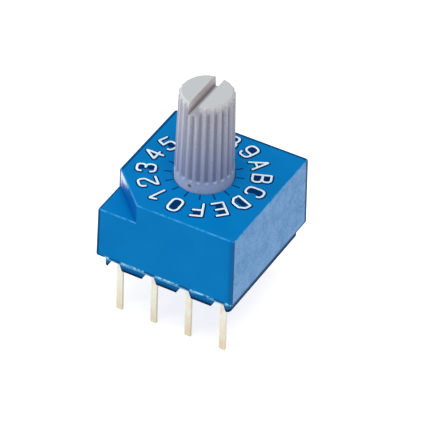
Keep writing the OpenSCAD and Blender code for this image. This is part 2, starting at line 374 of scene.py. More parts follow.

# %% [markdown]
# The cover's +X side came off a rougher wall of the mould, which left a mottled frost.
# Its pale colour is also painted sheen, the reflection that the side shows. A second
# material on those faces would end in a hard line. As a mask the frost and its painted
# sheen start softly at the upright edge and thin out towards the rear top corner. Broad
# scuffs and small specks are two noises laid over an even veil.

# %% Frost and painted sheen on the right side
# Shares of the frost and its painted sheen.
FROST_VEIL, FROST_SCUFFS, FROST_SPECKS = 0.37, 0.27, 0.24
FROST_THINNED = 0.4  # how much of the frost is gone in the rear top corner


def faces(tree, lean, low=0.5, high=0.65):
    """The faces that look along an axis, found by that part of their normal."""
    return ramp(tree, lean, low, high)


# Pale frost, part real mottling and part painted sheen, the reflection that the side shows.
def frost_and_sheen_mask(tree, point, place, side):
    scuffs = ramp(tree, noise(tree, point, 950.0, 5.0, 0.75), 0.35, 0.65)
    specks = ramp(tree, noise(tree, point, 9000.0, 2.0), 0.4, 0.6)
    patchy = maths(tree, "ADD", product(tree, scuffs, FROST_SCUFFS),
                   product(tree, specks, FROST_SPECKS))
    from_edge = ramp(tree, place["X"], COVER_HALF - 0.3 * MM, COVER_HALF - 0.15 * MM)
    frost_and_sheen = product(tree, faces(tree, side["X"], 0.6, 0.95), from_edge,
                    maths(tree, "ADD", patchy, FROST_VEIL))
    rear_top = COVER_HALF + COVER_HIGH.z
    corner = ramp(tree, maths(tree, "ADD", place["Y"], place["Z"]),
                  rear_top - 1.7 * MM, rear_top - 0.2 * MM)
    return product(tree, frost_and_sheen, inverse(tree, product(tree, corner, FROST_THINNED)))


print("frost, from thin to full:", FROST_VEIL, "to", FROST_VEIL + FROST_SCUFFS + FROST_SPECKS)

# %% [markdown]
# One corner of the cover is cut away by a slanting wall above a ledge, which shows which
# way round the switch goes. The wall is found by its normal, which looks left and forward
# at once, and it gets a darker blue as painted shade. Its upper left end gets a white
# painted highlight, whose edge is a sum of height, distance and noise, so it's ragged and
# not a drawn shape.

# %% The keyed corner
HIGHLIGHT_LONG = 1.7 * MM
HIGHLIGHT_SHARE = 0.86


def step_masks(tree, point, place, side):
    """Masks of the keyed corner's wall, for its painted shade, and of the painted highlight in its
    upper left end.
    """
    wall = product(tree, faces(tree, negative(tree, side["X"])),
                   faces(tree, negative(tree, side["Y"])))
    up = carried(tree, place["Z"], LEDGE_Z, COVER_HIGH.z)
    along = carried(tree, place["X"], -COVER_HALF, -COVER_HALF + HIGHLIGHT_LONG, clamp=False)
    painted_light = noise(tree, point, 2600.0, 5.0, 0.7)
    height = maths(tree, "ADD", maths(tree, "SUBTRACT", up, along), painted_light)
    return wall, product(tree, wall, ramp(tree, height, 0.45, 1.0), HIGHLIGHT_SHARE)


print("scuff reaches", mm(HIGHLIGHT_LONG), "mm in from the left end")

# %% [markdown]
# The cover's lower rim gets a band of painted shade all round. Over the front feet it gets
# a painted highlight instead, broken up by a noise, but the shade stays at the notches
# between them. Four masks, one for each notch, would do. They repeat with the leads,
# though, so a single PINGPONG node that runs to and fro with the pitch gives the distance
# from the nearest one.

# %% The lower rim
RIM_FROM, RIM_TO = 0.09 * MM, 0.15 * MM  # height above the rim's edge
NOTCH_DARK, FOOT_PALE = 0.36 * MM, 0.5 * MM
RIM_SHARE = 0.92


def rim_masks(tree, point, place, side):
    """Masks of the rim's painted shade, and of its painted highlight over the feet."""
    rim = inverse(tree, ramp(tree, place["Z"], COVER_LOW.z + RIM_FROM, COVER_LOW.z + RIM_TO))
    shifted = maths(tree, "SUBTRACT", place["X"], NOTCH_SEEN_X)
    from_notch = maths(tree, "PINGPONG", shifted, LEAD_PITCH / 2)
    front = product(tree, faces(tree, negative(tree, side["Y"])),
                    ramp(tree, place["X"], -COVER_HALF + 0.5 * MM, -COVER_HALF + 0.9 * MM),
                    ramp(tree, from_notch, NOTCH_DARK, FOOT_PALE))
    broken = ramp(tree, noise(tree, point, 3200.0, 4.0), 0.34, 0.58)
    pale = product(tree, rim, front, broken, RIM_SHARE)
    return product(tree, rim, inverse(tree, front)), pale


print("pale length over each foot in mm:", mm(LEAD_PITCH - 2 * FOOT_PALE))

# %% [markdown]
# Fine lines of painted shade lie along the top's left and rear edges, where the rounding
# turns from the lamps, and along the uprights at the front left and the rear right. Thin
# strips of geometry would stand proud of the faces. A mask has no thickness, and it can
# follow the sides where they lean in.

# %% Lines of painted shade
TOP_LINE = COVER_HALF - 0.25 * MM  # where each line starts, measured from the middle
FRONT_LINE = COVER_HALF - 0.23 * MM
RIGHT_LINE = COVER_HALF - 0.37 * MM
TOP_LINE_OUT = 0.11 * MM  # how much further out the ledge's own line lies


def shade_line_mask(tree, place, side):
    """Lines of painted shade on the top, the ledge and two uprights."""
    left = negative(tree, place["X"])
    on_top = product(tree, ramp(tree, place["Z"], LEDGE_Z + 0.2 * MM, LEDGE_Z + 0.4 * MM),
                     TOP_LINE_OUT)
    reach = maths(tree, "ADD", maths(tree, "MAXIMUM", left, place["Y"]), on_top)
    top = product(tree, faces(tree, side["Z"], 0.9, 0.98),
                  ramp(tree, reach, TOP_LINE, TOP_LINE + 0.05 * MM))
    lean = product(tree, maths(tree, "SUBTRACT", place["Z"], COVER_LOW.z), DRAFT_SLOPE)
    leftmost = maths(tree, "ADD", left, lean)
    front = product(tree, faces(tree, negative(tree, side["Y"])),
                    ramp(tree, leftmost, FRONT_LINE, FRONT_LINE + 0.04 * MM))
    rearmost = maths(tree, "ADD", place["Y"], lean)
    right = product(tree, faces(tree, side["X"], 0.8, 0.87),
                    ramp(tree, rearmost, RIGHT_LINE, RIGHT_LINE + 0.05 * MM))
    return maths(tree, "MAXIMUM", top, maths(tree, "MAXIMUM", front, right))


print("lines start", mm(TOP_LINE), mm(FRONT_LINE), mm(RIGHT_LINE), "mm from the middle")

# %% [markdown]
# The layers go on in this order: plastic, frost with its painted sheen, the keyed wall's
# painted shade and highlight, the painted edge light, painted shade towards the front's
# right end, the lines of painted shade with the rim's painted shade, and last the rim's
# painted highlight. The plastic could be glossier, but a strong reflection washes out so
# deep a blue, so the specular level is low.

# %% The blue cover
BLUE, BLUE_DEEP = srgb(0, 120, 188), srgb(0, 116, 184)
# Painted shade for the keyed wall.
STEP_SHADE_BLUE = srgb(0, 90, 164)
# A white painted highlight on the keyed wall, and the frost with its painted sheen.
WALL_HIGHLIGHT, FROST_SHEEN_COLOUR = srgb(226, 238, 248), srgb(150, 193, 240)
# Painted highlight and painted shade for the rounded edges.
EDGE_HIGHLIGHT, EDGE_SHADE = srgb(98, 184, 232), srgb(0, 58, 108)
# Painted shade for the lines along edges and for the rim.
LINE_SHADE = srgb(0, 52, 100)
# A painted highlight, for the rim over the feet and for the base's seam.
RIM_HIGHLIGHT = srgb(160, 226, 255)
BLUE_SPECULAR = 0.03


def blue_cover_material():
    material, tree, shader = new_material("blue_cover")
    point, place, side = surface(tree)
    skin = use_group(tree, moulded_skin, Grain_Scale=11000.0, Depth=0.12)
    plain = mix(tree, skin.outputs["Uneven"], BLUE, BLUE_DEEP)
    frosted_and_sheened = mix(tree, frost_and_sheen_mask(tree, point, place, side), plain, FROST_SHEEN_COLOUR)
    # The keyed wall's painted shade and painted highlight.
    wall, wall_highlight_mask = step_masks(tree, point, place, side)
    stepped = mix(tree, wall_highlight_mask, mix(tree, wall, frosted_and_sheened, STEP_SHADE_BLUE), WALL_HIGHLIGHT)
    # Painted highlight on edges that face the front right, painted shade on the others.
    edge = use_group(tree, edge_light_and_shade, Pale_Amount=0.4, Dark_Amount=0.95)
    tint = mix(tree, edge.outputs["Near"], EDGE_SHADE, EDGE_HIGHLIGHT)
    painted_light = mix(tree, edge.outputs["Mask"], stepped, tint)
    # Painted shade: the front darkens towards its right end.
    front_right_shade = product(tree, faces(tree, negative(tree, side["Y"]), 0.5, 0.8),
                        ramp(tree, place["X"], COVER_HALF - 0.6 * MM, COVER_HALF - 0.1 * MM),
                        0.4)
    shaded = mix(tree, front_right_shade, painted_light, EDGE_SHADE)
    # The rim's painted shade and painted highlight.
    rim_shade_mask, rim_highlight_mask = rim_masks(tree, point, place, side)
    # Lines of painted shade along edges, with the rim's painted shade.
    lines = maths(tree, "MAXIMUM", shade_line_mask(tree, place, side), rim_shade_mask)
    lined = mix(tree, product(tree, lines, 0.82), shaded, LINE_SHADE)
    colour = mix(tree, rim_highlight_mask, lined, RIM_HIGHLIGHT)
    rough = carried(tree, skin.outputs["Uneven"], 0.0, 1.0, 0.38, 0.5)
    set_inputs(tree, shader, Base_Color=colour, Roughness=rough,
               Specular_IOR_Level=BLUE_SPECULAR, Normal=skin.outputs["Normal"])
    return material


blue_cover = blue_cover_material()
tell(blue_cover)

# %% [markdown]
# The base is the block under the cover that carries the leads, in a slightly darker blue.
# It could share the cover's material, but its marks are others: the seam under the cover's
# front catches the light in places, painted as a highlight, and its soles get painted
# shade, where they stand in their own shadow. Its skin and its painted edge light come
# from the same groups.

# %% The blue base
BASE_BLUE, BASE_BLUE_DEEP = srgb(0, 110, 178), srgb(0, 100, 166)
# A painted highlight for the base's rounded edges, and painted shade for its soles.
BASE_EDGE_HIGHLIGHT = srgb(60, 130, 180)
SOLE_SHADE = srgb(0, 26, 68)


def blue_base_material():
    material, tree, shader = new_material("blue_base")
    point, place, side = surface(tree)
    skin = use_group(tree, moulded_skin, Grain_Scale=8000.0, Depth=0.2)
    colour = mix(tree, skin.outputs["Uneven"], BASE_BLUE, BASE_BLUE_DEEP)
    edge = use_group(tree, edge_light_and_shade, Pale_Amount=0.3, Dark_Amount=0.5)
    painted_edge = mix(tree, edge.outputs["Mask"], colour, BASE_EDGE_HIGHLIGHT)
    broken = ramp(tree, noise(tree, point, 2500.0, 3.0), 0.3, 0.6)
    seam = product(tree, ramp(tree, place["Z"], 0.44 * MM, 0.54 * MM),
                   faces(tree, negative(tree, side["Y"]), 0.5, 0.8), broken, 0.45)
    seamed = mix(tree, seam, painted_edge, RIM_HIGHLIGHT)
    # Painted shade on the soles.
    sole_shade_mask = inverse(tree, ramp(tree, place["Z"], 0.06 * MM, 0.36 * MM))
    soled = mix(tree, sole_shade_mask, seamed, SOLE_SHADE)
    set_inputs(tree, shader, Base_Color=soled, Roughness=0.5,
               Specular_IOR_Level=BLUE_SPECULAR, Normal=skin.outputs["Normal"])
    return material


blue_base = blue_base_material()
tell(blue_base)

# %% [markdown]
# The shaft is a pale grey plastic. Its flat top is painted light: a little lighter and
# more neutral than the flank, as the face that the lamps light from above. Its collar and
# foot are darker and slightly violet, and its upper rim gets a painted highlight on its
# rounding. Bands of colour would show as rings, so ramps over the height let one grey run
# into the next.

# %% The shaft's greys
SHAFT_FOOT_R = 1.95 * MM
SHAFT_TOP_R = 1.8 * MM
SHAFT_TOP_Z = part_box("rotor")[1].z
FOOT_GREY, COLLAR_GREY = srgb(145, 156, 187), srgb(161, 173, 202)
FLANK_GREY, RIM_HIGHLIGHT_GREY, TOP_GREY = srgb(181, 182, 194), srgb(194, 194, 195), srgb(188, 192, 194)


def shaft_greys(tree, height, upward):
    """The shaft's greys with their painted light, and the masks of its rim highlight and of its lit
    top.
    """
    above_collar = ramp(tree, height, COVER_HIGH.z + 0.5 * MM, COVER_HIGH.z + 1.0 * MM)
    low = mix(tree, above_collar, COLLAR_GREY, FOOT_GREY)
    up = ramp(tree, height, SHAFT_TOP_Z - 5.5 * MM, SHAFT_TOP_Z - 0.5 * MM)
    flank = mix(tree, up, low, FLANK_GREY)
    # A painted highlight on the rounded rim.
    rim = ramp(tree, height, SHAFT_TOP_Z - 0.8 * MM, SHAFT_TOP_Z - 0.25 * MM)
    rimmed = mix(tree, product(tree, rim, 0.6), flank, RIM_HIGHLIGHT_GREY)
    # The upward top: painted light, a little lighter and more neutral.
    at_top = ramp(tree, height, SHAFT_TOP_Z - 0.35 * MM, SHAFT_TOP_Z - 0.15 * MM)
    lit_top = product(tree, ramp(tree, upward, 0.2, 0.8), at_top)
    return mix(tree, lit_top, rimmed, TOP_GREY), rim, lit_top


print("shaft top at", mm(SHAFT_TOP_Z), "mm, radius", mm(SHAFT_TOP_R), "to", mm(SHAFT_FOOT_R), "mm")

# %% [markdown]
# The screwdriver slot is cut across the top. Its walls are bright near the rim and fall
# into shade below. The lamps alone give them too little of that, so their colour is
# graded with the depth. The slot is found by its size, with a hair's margin that keeps
# its own faces inside the mask and the flank's outside.

# %% The slot
SLOT_HALF = 0.34 * MM
SLOT_DEEP = 0.9 * MM
SLOT_MARGIN = 0.002 * MM
SLOT_LOW, SLOT_HIGH = srgb(152, 144, 146), srgb(224, 216, 214)


def slot_finish(tree, place, upward):
    """Masks of all that lies inside the slot and of its walls alone, and the walls' colour."""
    from_middle = maths(tree, "ABSOLUTE", place["X"], 0.0)
    narrow = maths(tree, "LESS_THAN", from_middle, SLOT_HALF + SLOT_MARGIN)
    high = maths(tree, "GREATER_THAN", place["Z"], SHAFT_TOP_Z - SLOT_DEEP - SLOT_MARGIN)
    in_slot = product(tree, narrow, high)
    wall = product(tree, in_slot, inverse(tree, ramp(tree, upward, 0.2, 0.8)))
    lit = ramp(tree, place["Z"], SHAFT_TOP_Z - 0.85 * MM, SHAFT_TOP_Z - 0.3 * MM)
    return in_slot, wall, mix(tree, lit, SLOT_LOW, SLOT_HIGH)


print("slot in mm:", mm(2 * SLOT_HALF), "wide,", mm(SLOT_DEEP), "deep")

# %% [markdown]
# The grooves between the serrations get painted shade, more on the right than on the left,
# where they get a painted highlight instead, as they also do near the rim. The grooves
# could be picked face by face. It is shorter to ask how far a point lies inside the tapering
# surface of the crests.

# %% The grooves
GROOVE_FROM, GROOVE_TO = 0.06 * MM, 0.135 * MM


def groove_mask(tree, place):
    flat = node(tree, "ShaderNodeCombineXYZ", {"X": place["X"], "Y": place["Y"]}).outputs[0]
    radius = node(tree, "ShaderNodeVectorMath", {0: flat}, operation="LENGTH").outputs["Value"]
    crests = carried(tree, place["Z"], COVER_HIGH.z, SHAFT_TOP_Z, SHAFT_FOOT_R, SHAFT_TOP_R)
    return ramp(tree, maths(tree, "SUBTRACT", crests, radius), GROOVE_FROM, GROOVE_TO)


def groove_finish(tree, place, on_flank, rim):
    """Masks of the painted shade in the grooves and of their painted highlight."""
    flank_groove = product(tree, groove_mask(tree, place), on_flank)
    # Painted shade grows towards the right, and the left grooves get a painted highlight.
    rightward = ramp(tree, place["X"], -1.6 * MM, 0.3 * MM)
    share = maths(tree, "ADD", product(tree, rightward, 0.42), 0.22)
    shade_in_grooves = product(tree, flank_groove, inverse(tree, product(tree, rim, 0.7)), share)
    left_lit = product(tree, inverse(tree, rightward), 0.3)
    pale = product(tree, flank_groove, maths(tree, "MAXIMUM", product(tree, rim, 0.6), left_lit))
    return shade_in_grooves, pale


print("grooves start", mm(GROOVE_FROM), "mm inside the crests")

# %% [markdown]
# The shaft's material puts these layers together, with small dark specks everywhere but
# on the clean top. The specks could be grains of geometry, but at this size they are only
# spots of colour, and a fine noise scatters them.

# %% The grey shaft
# Painted highlight and painted shade for the grooves.
GROOVE_HIGHLIGHT, GROOVE_SHADE = srgb(236, 238, 242), srgb(96, 98, 120)
SPECK_GREY = srgb(120, 118, 136)


def grey_shaft_material():
    material, tree, shader = new_material("grey_shaft")
    point, place, side = surface(tree)
    upward = side["Z"]
    skin = use_group(tree, moulded_skin, Grain_Scale=9000.0, Depth=0.35)
    greys, rim, lit_top = shaft_greys(tree, place["Z"], upward)
    in_slot, slot_wall, slot_grey = slot_finish(tree, place, upward)
    clean = mix(tree, slot_wall, greys, slot_grey)
    on_flank = inverse(tree, maths(tree, "MAXIMUM", ramp(tree, upward, 0.2, 0.6), in_slot))
    shade_in_grooves, pale = groove_finish(tree, place, on_flank, rim)
    grooves_shaded = mix(tree, shade_in_grooves, mix(tree, pale, clean, GROOVE_HIGHLIGHT), GROOVE_SHADE)
    speck = product(tree, ramp(tree, noise(tree, point, 9500.0, 3.0), 0.54, 0.7), 0.45,
                    inverse(tree, lit_top))
    colour = mix(tree, speck, grooves_shaded, SPECK_GREY)
    set_inputs(tree, shader, Base_Color=colour, Roughness=0.55, Specular_IOR_Level=0.3,
               Normal=skin.outputs["Normal"])
    return material


grey_shaft = grey_shaft_material()
tell(grey_shaft)

# %% [markdown]
# The leads are thinly gilded strip: pale cream, more golden towards their tips, and with
# faint warm stains along the lines of the rolling. One gold all over would look like
# jewellery. Here the gold deepens with the height, and a noise multiplied by the strip's
# own lines lays the stains along the grain. The contacts inside get a fresher gold.

# %% Gilded metal
STAIN = srgb(214, 184, 150)
STAIN_LEAST, STAIN_MORE = 0.3, 0.4  # the stains grow from left to right
STAIN_REACH = 3.5 * MM


def gilded_material(name, pale, deep, low, high):
    """Gilded strip whose gold deepens from high down to low."""
    material, tree, shader = new_material(name)
    point = node(tree, "ShaderNodeTexCoord").outputs["Object"]
    place = axes(tree, point)
    strip = use_group(tree, rolled_metal, Depth=0.2)
    lines = strip.outputs["Lines"]
    golden = mix(tree, ramp(tree, place["Z"], low, high), deep, pale)
    tarnish = ramp(tree, noise(tree, point, 1800.0, 3.0), 0.45, 0.75)
    dulled = mix(tree, product(tree, tarnish, 0.35), golden, deep)
    to_right = ramp(tree, place["X"], -STAIN_REACH, STAIN_REACH)
    share = maths(tree, "ADD", STAIN_LEAST, product(tree, to_right, STAIN_MORE))
    streaks = product(tree, ramp(tree, noise(tree, point, 1300.0, 4.0), 0.38, 0.7),
                      ramp(tree, lines, 0.35, 0.62), share)
    colour = mix(tree, streaks, dulled, STAIN)
    set_inputs(tree, shader, Base_Color=colour, Metallic=0.6,
               Roughness=carried(tree, lines, 0.0, 1.0, 0.28, 0.45),
               Normal=strip.outputs["Normal"])
    return material


LEAD_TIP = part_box("terminal_bit_1")[0].z
gilded_lead = gilded_material("gilded_lead", srgb(225, 225, 213), srgb(215, 207, 180),
                              LEAD_TIP - 0.5 * MM, LEAD_TIP + 3.5 * MM)
gilded_contact = gilded_material("gilded_contact", srgb(236, 206, 132), srgb(212, 172, 88),
                                 0.0, 3 * MM)
tell(gilded_lead, gilded_contact)

# %% [markdown]
# The springs, the O-ring and the sealing resin are seen only when the switch is opened
# up. They could stay plain grey, but a part is looked at from inside too, so each gets
# its finish from the same groups: bright rolled steel, dull black rubber, and dark resin
# that set with a thin gloss.

# %% Steel, rubber and resin
def spring_material():
    material, tree, shader = new_material("spring_steel")
    strip = use_group(tree, rolled_metal, Along=(300.0, 4000.0, 4000.0), Depth=0.25)
    colour = mix(tree, strip.outputs["Lines"], srgb(170, 172, 176), srgb(206, 207, 210))
    set_inputs(tree, shader, Base_Color=colour, Metallic=1.0, Roughness=0.3,
               Normal=strip.outputs["Normal"])
    return material


def clouded_material(name, grain, depth, first, second, **finish):
    """The moulded skin, wandering between two near shades."""
    material, tree, shader = new_material(name)
    skin = use_group(tree, moulded_skin, Grain_Scale=grain, Depth=depth)
    colour = mix(tree, skin.outputs["Uneven"], first, second)
    set_inputs(tree, shader, Base_Color=colour, Normal=skin.outputs["Normal"], **finish)
    return material


spring_steel = spring_material()
rubber = clouded_material("rubber", 6000.0, 0.4, srgb(30, 30, 33), srgb(44, 44, 47),
                          Roughness=0.75)
resin = clouded_material("resin", 1500.0, 0.3, srgb(34, 34, 40), srgb(46, 45, 50),
                         Roughness=0.2, Coat_Weight=0.5)
tell(spring_steel, rubber, resin)

# %% [markdown]
# The CAD nodes keep their meshes, and only what is in their material slots changes. Each
# could have a line of its own. Springs and terminals come in several, though, so a table
# goes by how a node's name starts.

# %% Dress the solids
DRESS = {
    "cover": blue_cover,
    "base": blue_base,
    "rotor": grey_shaft,
    "terminal": gilded_lead,
    "code_disc": gilded_contact,
    "detent_spring": spring_steel,
    "o_ring": rubber,
    "seam_seal": resin,
}
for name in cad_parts:
    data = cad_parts[name].data
    data.materials.clear()
    data.materials.append(next(DRESS[start] for start in DRESS if name.startswith(start)))
print("dressed", len(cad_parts), "CAD nodes")

# %% [markdown]
# The dial carries the sixteen characters 0 to F, one every 22.5 degrees, clockwise from
# the front and with their tops outwards. A text object would need a font of the same cut.
# A mould's cutter draws them as a pen would, in strokes with round ends, so each is a list
# of strokes on a small grid, 4 wide and 6 high.

# %% The characters' strokes
GRID_WIDE = 4
GRID_HIGH = 6
# Each stroke: closed or open, the radius of its corners, and its corner points.
STROKES = {
    "0": [(True, 1.9, [(0.1, 0), (3.9, 0), (3.9, 6), (0.1, 6)])],
    "1": [(False, 0.2, [(0.7, 4.7), (2.6, 6), (2.6, 0)])],
    "2": [(False, 1.6, [(0.1, 4.2), (0.1, 6), (3.9, 6), (3.9, 3.5), (0.1, 0.6), (0.1, 0.02)]),
          (False, 0.1, [(0.1, 0), (4, 0)])],
    "3": [(False, 1.3, [(0.1, 4.6), (0.1, 6), (3.8, 6), (3.8, 3.2), (2.2, 3.2)]),
          (False, 1.4, [(2.6, 3.05), (3.9, 3.05), (3.9, 0), (0, 0), (0, 1.5)])],
    "4": [(False, 0.15, [(3, 0), (3, 6), (0, 1.8), (4, 1.8)])],
    "5": [(False, 0.1, [(3.8, 6), (0.5, 6), (0.3, 3.5)]),
          (False, 1.6, [(0.3, 3.5), (3.9, 3.9), (3.9, 0), (0, 0), (0, 1.4)])],
    "6": [(False, 1.8, [(3.8, 4.6), (3.8, 6), (0, 6), (0, 0), (4, 0), (4, 3.5), (0.1, 3.5)])],
    "7": [(False, 0.1, [(0.1, 6), (4, 6), (1.5, 0)])],
    "8": [(True, 1.35, [(0.3, 3.2), (3.7, 3.2), (3.7, 6), (0.3, 6)]),
          (True, 1.55, [(0, 0), (4, 0), (4, 3.2), (0, 3.2)])],
    "9": [(False, 1.8, [(0.2, 1.4), (0.2, 0), (4, 0), (4, 6), (0, 6), (0, 2.5), (3.9, 2.5)])],
    "A": [(False, 0.15, [(0, 0), (2, 6), (4, 0)]), (False, 0.1, [(0.7, 1.9), (3.3, 1.9)])],
    "B": [(False, 0.1, [(0.1, 0), (0.1, 6)]),
          (False, 1.3, [(0.1, 6), (3.7, 6), (3.7, 3.2), (0.1, 3.2)]),
          (False, 1.45, [(2.1, 3.05), (4, 3.05), (4, 0), (0.1, 0)])],
    "C": [(False, 1.9, [(3.9, 4.4), (3.9, 6), (0, 6), (0, 0), (3.9, 0), (3.9, 1.6)])],
    "D": [(True, 0.4, [(0.1, 0), (0.1, 6), (2.3, 6), (3.9, 4.4), (3.9, 1.6), (2.3, 0)])],
    "E": [(False, 0.1, [(3.9, 6), (0.1, 6), (0.1, 0), (3.9, 0)]),
          (False, 0.1, [(0.1, 3.1), (3.3, 3.1)])],
    "F": [(False, 0.1, [(3.9, 6), (0.1, 6), (0.1, 0)]),
          (False, 0.1, [(0.1, 3.1), (3.3, 3.1)])],
}
print("characters:", "".join(STROKES), "with", sum(len(s) for s in STROKES.values()), "strokes")

# %% [markdown]
# Each character lies in a dark bed, a wider stroke under the white one, which is painted
# shadow round the raised stroke. The bed also fills the small spaces inside a character
# with painted shadow. A boolean could cut those shapes out of one plate, but a few more
# strokes along the spaces' middle lines are simpler and never fail.

# %% The fills of the dark bed
FILLS = {
    "0": [[(2, 1.8), (2, 4.2)]],
    "3": [[(2.3, 1.6), (2.5, 1.6)], [(2.2, 4.6), (2.5, 4.6)]],
    "4": [[(2.1, 2.7), (2.4, 3.1)]],
    "5": [[(2.2, 1.9), (2.5, 1.9)]],
    "6": [[(1.6, 1.75), (2.4, 1.75)]],
    "8": [[(1.7, 1.6), (2.3, 1.6)], [(1.8, 4.6), (2.2, 4.6)]],
    "9": [[(1.6, 4.25), (2.4, 4.25)]],
    "A": [[(2, 2.7), (2, 3.2)]],
    "B": [[(1.5, 1.6), (2.3, 1.6)], [(1.5, 4.6), (2.1, 4.6)]],
    "C": [[(2.0, 4.5), (1.5, 3.0), (2.0, 1.5)]],
    "D": [[(1.5, 2.0), (1.5, 4.0)]],
    "E": [[(1.1, 1.55), (2.1, 1.55)], [(1.1, 4.55), (2.1, 4.55)]],
    "F": [[(1.1, 4.55), (2.3, 4.55)]],
}
print("filled:", "".join(FILLS))

# %% [markdown]
# A cutter turns its corners in arcs. Bezier handles could bend them, but each would have
# to be set by itself. `rounded` does it for every corner: it cuts the corner off at the
# same distance on both sides, and bends a quadratic curve between the cuts.

# %% Round corners
ARC_STEPS = 5


def rounded(points, radius, closed):
    """The same line with every corner turned into an arc of at most that radius."""
    corners = [Vector(point) for point in points]
    count = len(corners)
    line = []
    for i, corner in enumerate(corners):
        if not closed and i in (0, count - 1):
            line.append(corner)
            continue
        before = corners[i - 1] - corner
        after = corners[(i + 1) % count] - corner
        half = before.angle(after) / 2
        # A side is shared with the next corner, unless the line ends there.
        share_before = 1 if not closed and i == 1 else 0.5
        share_after = 1 if not closed and i == count - 2 else 0.5
        room = min(before.length * share_before, after.length * share_after)
        cut = min(radius / math.tan(half), room)
        start = corner + before.normalized() * cut
        end = corner + after.normalized() * cut
        for step in range(ARC_STEPS + 1):
            t = step / ARC_STEPS
            line.append(start * (1 - t) ** 2 + corner * 2 * t * (1 - t) + end * t * t)
    return line


print("the 0 becomes a line of", len(rounded(STROKES["0"][0][2], 1.9, True)), "points")

# %% [markdown]
# Each position turns the grid round the dial's middle, which lies a little off the
# shaft's axis, because the dial has its own tool. Sixteen objects could be rotated one by
# one. Turning the points before they are drawn gives one mesh at the end.

# %% Points on the dial
POSITIONS = 16
DIAL_MIDDLE = (-0.08, 0.12)  # off the shaft's axis, mm
CHARACTER_RADIUS = 3.7  # from there to the middle of a character, mm
CHARACTER_WIDE = 0.76  # along a stroke's middle line, mm
CHARACTER_HIGH = 1.2


def on_dial(point, index):
    """A point of the character grid, placed on the dial at that position, in mm."""
    angle = math.radians(-90 - index * 360 / POSITIONS)
    outward = Vector((math.cos(angle), math.sin(angle), 0))
    right = Vector((math.sin(angle), -math.cos(angle), 0))
    across = (point[0] - GRID_WIDE / 2) / GRID_WIDE * CHARACTER_WIDE
    along = (point[1] - GRID_HIGH / 2) / GRID_HIGH * CHARACTER_HIGH
    middle = Vector((DIAL_MIDDLE[0], DIAL_MIDDLE[1], 0))
    return middle + outward * (CHARACTER_RADIUS + along) + right * across


print("the 0 stands at", [round(c, 2) for c in on_dial((2, 3), 0)], "mm")

# %% [markdown]
# An open stroke ends round like a pen's. Spheres could be joined to its ends, but the
# joints would show. Instead its last points run on over a half circle and taper.

# %% Round ends
CAP_ANGLES = (30, 60, 88)  # degrees round the half circle at a stroke's end


def tapered(line, radius):
    """The line with a round end added at each side: points and their share of the width."""
    def cap(end, inner):
        along = (end - inner).normalized() * radius
        return [(end + along * math.sin(math.radians(a)), math.cos(math.radians(a)))
                for a in CAP_ANGLES]
    start = cap(line[0], line[1])
    finish = cap(line[-1], line[-2])
    return start[::-1] + [(point, 1.0) for point in line] + finish


print("a round end has", len(CAP_ANGLES), "steps")

# %% [markdown]
# A stroke is a curve with a bevel, which gives it its width all along. A mesh tube would
# need its rings placed by hand. The curves are drawn at a thousand times their size, one
# unit to the millimetre, because a bevel loses precision on very small lines.

# %% Pen strokes
BEVEL_STEPS = 3


def deselect_all():
    bpy.ops.object.select_all(action="DESELECT")


def stroke(line, radius, closed):
    """One pen stroke as a curve, drawn point by point."""
    points = [(point, 1.0) for point in line] if closed else tapered(line, radius)
    deselect_all()
    bpy.ops.curve.primitive_bezier_curve_add(enter_editmode=True)
    bpy.ops.curve.select_all(action="SELECT")
    bpy.ops.curve.delete(type="VERT")
    for point, _ in points:
        bpy.ops.curve.vertex_add(location=point)
    bpy.ops.curve.select_all(action="SELECT")
    bpy.ops.curve.spline_type_set(type="POLY")
    if closed:
        bpy.ops.curve.cyclic_toggle()
    bpy.ops.object.mode_set(mode="OBJECT")
    curve = bpy.context.object
    for knot, (_, share) in zip(curve.data.splines[0].points, points):
        knot.radius = share
    curve.data.dimensions = "3D"
    curve.data.bevel_depth = radius
    curve.data.bevel_resolution = BEVEL_STEPS
    curve.data.use_fill_caps = not closed
    return curve


print("a stroke's edge is rounded in", BEVEL_STEPS, "steps")

# %% [markdown]
# The strokes are joined, pressed flat and laid on the cover. They could be left as round
# tubes half sunk into it, but moulded characters are low and their tops nearly flat.
# Pressing keeps the soft shoulders that catch the light.

# %% Flatten the strokes
def only(*objects):
    """Select just these objects, the last one active."""
    deselect_all()
    for each in objects:
        each.select_set(True)
    bpy.context.view_layer.objects.active = objects[-1]


def apply_transforms():
    bpy.ops.object.transform_apply(location=True, rotation=True, scale=True)


def flattened(curves, name, height, lift):
    """One mesh of all curves, pressed to this height in mm and lifted by this in metres."""
    only(*curves)
    bpy.ops.object.convert(target="MESH")
    bpy.ops.object.join()
    piece = bpy.context.object
    piece.name = name
    heights = [vertex.co.z for vertex in piece.data.vertices]
    piece.scale = (MM, MM, MM * height / (max(heights) - min(heights)))
    apply_transforms()
    piece.location.z = COVER_HIGH.z + lift
    apply_transforms()
    bpy.ops.object.shade_smooth()
    return piece


print("the strokes lie at", mm(COVER_HIGH.z), "mm")

# %% [markdown]
# Two sets of strokes go round the dial: the narrow raised ones that carry the white
# paint, and under them the wide thin ones of the dark bed, a painted shadow. Drawn in the
# cover's material the bed would need an image. It is shifted a little, so that the painted
# shadow shows more below.

# %% The dial's characters
STROKE_R = 0.079  # half a stroke's width, mm
STROKE_HIGH = 0.05
STROKE_LIFT = 0.008 * MM
OUTLINE_R = 0.172  # the same for the bed
OUTLINE_HIGH = 0.01
FILL_R = 0.2
# Shifts the bed's painted shadow, so it shows more below.
BED_SHIFT = Vector((0.02, -0.035, 0))

